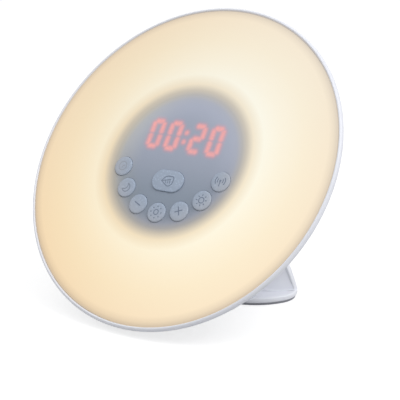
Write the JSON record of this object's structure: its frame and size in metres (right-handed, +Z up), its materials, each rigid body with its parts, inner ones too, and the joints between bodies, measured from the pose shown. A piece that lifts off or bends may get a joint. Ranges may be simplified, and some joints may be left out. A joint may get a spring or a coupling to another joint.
{
  "type": "sunrise alarm clock",
  "caption": "Bedside sunrise alarm clock: a round tilted light face with touch-size keys and a lit time display, a rear pod with speaker and sockets, and a flat foot.",
  "frame": {"origin": "middle of the foot pad's underside, on the surface that the clock stands on", "axes": "+Z up, the face looks to -Y and up, +X to the right seen from the front"},
  "size_m": [0.168, 0.1068, 0.1378],
  "materials": {
    "opal": "satin opal",
    "key_grey": "translucent satin",
    "white_plastic": "satin moulded",
    "black_plastic": "moulded",
    "display_black": "matt",
    "digit_red": "lit diffusing",
    "board_green": "lacquered circuit board",
    "board_white": "white lacquered circuit board",
    "lamp_yellow": "phosphor lens",
    "reflector_white": "white sheet",
    "chip_black": "moulded epoxy",
    "capacitor_blue": "shrink sleeve",
    "header_cream": "moulded nylon",
    "bright_metal": "tinned",
    "screw_steel": "zinc plated",
    "magnet_grey": "ferrite",
    "cone_paper": "pressed paper pulp",
    "black_foam": "closed-cell foam",
    "grey_rubber": "matt",
    "ribbon_grey": "flat cable",
    "lead_red": "soft sleeve",
    "lead_black": "soft sleeve",
    "contact_brass": "bright spring strip"
  },
  "bodies": {
    "clock": {"front_diffuser": "opal", "key_switches": "black_plastic", "light_barrel": "white_plastic", "light_seal": "black_foam", "display_board": "board_green", "digit_display": "display_black", "digit_bars": "digit_red", "barrel_screws": "screw_steel", "board_screws": "screw_steel", "led_ring_board": "board_white", "ring_leds": "lamp_yellow", "reflector": "reflector_white", "rear_housing": "white_plastic", "main_board": "board_green", "processor_chip": "chip_black", "radio_chip": "chip_black", "amplifier_chip": "chip_black", "capacitors": "capacitor_blue", "clock_crystal": "bright_metal", "lead_headers": "header_cream", "inlet_board": "board_green", "usb_socket": "bright_metal", "antenna_grommet": "grey_rubber", "speaker_frame": "bright_metal", "speaker_cone": "cone_paper", "speaker_magnet": "magnet_grey", "speaker_gasket": "black_foam", "speaker_screws": "screw_steel", "display_ribbon": "ribbon_grey", "ring_leads": "lead_red", "speaker_leads": "lead_red", "inlet_leads": "lead_black", "cell_leads": "lead_black", "stand_column": "white_plastic", "stand_base": "white_plastic", "foot_pad": "grey_rubber", "stand_screws": "screw_steel", "base_screws": "screw_steel", "cell_holder": "black_plastic", "cell_contacts": "contact_brass", "coin_cell": "bright_metal"},
    "alarm_key": {"alarm_key": "key_grey", "alarm_key_plunger": "black_plastic"},
    "sound_key": {"sound_key": "key_grey", "sound_key_plunger": "black_plastic"},
    "minus_key": {"minus_key": "key_grey", "minus_key_plunger": "black_plastic"},
    "colour_key": {"colour_key": "key_grey", "colour_key_plunger": "black_plastic"},
    "plus_key": {"plus_key": "key_grey", "plus_key_plunger": "black_plastic"},
    "lamp_key": {"lamp_key": "key_grey", "lamp_key_plunger": "black_plastic"},
    "radio_key": {"radio_key": "key_grey", "radio_key_plunger": "black_plastic"},
    "snooze_key": {"snooze_key": "key_grey", "snooze_key_plunger": "black_plastic"},
    "cell_door": {"cell_door": "white_plastic"}
  },
  "joints": [
    {"name": "alarm_press", "type": "slide", "parent": "clock", "child": "alarm_key", "axis": [0, 0.7986, -0.6018], "range_m": [0, 0.0005], "stiffness_N_per_m": 400, "springref_m": -0.0002},
    {"name": "sound_press", "type": "slide", "parent": "clock", "child": "sound_key", "axis": [0, 0.7986, -0.6018], "range_m": [0, 0.0005], "stiffness_N_per_m": 400, "springref_m": -0.0002},
    {"name": "minus_press", "type": "slide", "parent": "clock", "child": "minus_key", "axis": [0, 0.7986, -0.6018], "range_m": [0, 0.0005], "stiffness_N_per_m": 400, "springref_m": -0.0002},
    {"name": "colour_press", "type": "slide", "parent": "clock", "child": "colour_key", "axis": [0, 0.7986, -0.6018], "range_m": [0, 0.0005], "stiffness_N_per_m": 400, "springref_m": -0.0002},
    {"name": "plus_press", "type": "slide", "parent": "clock", "child": "plus_key", "axis": [0, 0.7986, -0.6018], "range_m": [0, 0.0005], "stiffness_N_per_m": 400, "springref_m": -0.0002},
    {"name": "lamp_press", "type": "slide", "parent": "clock", "child": "lamp_key", "axis": [0, 0.7986, -0.6018], "range_m": [0, 0.0005], "stiffness_N_per_m": 400, "springref_m": -0.0002},
    {"name": "radio_press", "type": "slide", "parent": "clock", "child": "radio_key", "axis": [0, 0.7986, -0.6018], "range_m": [0, 0.0005], "stiffness_N_per_m": 400, "springref_m": -0.0002},
    {"name": "snooze_press", "type": "slide", "parent": "clock", "child": "snooze_key", "axis": [0, 0.7986, -0.6018], "range_m": [0, 0.0005], "stiffness_N_per_m": 400, "springref_m": -0.0002},
    {"name": "door_turn", "type": "hinge", "parent": "clock", "child": "cell_door", "pos_m": [0, 0.00967, 0.01805], "axis": [0, 0.9703, 0.2419], "range_deg": [0, 60]}
  ]
}
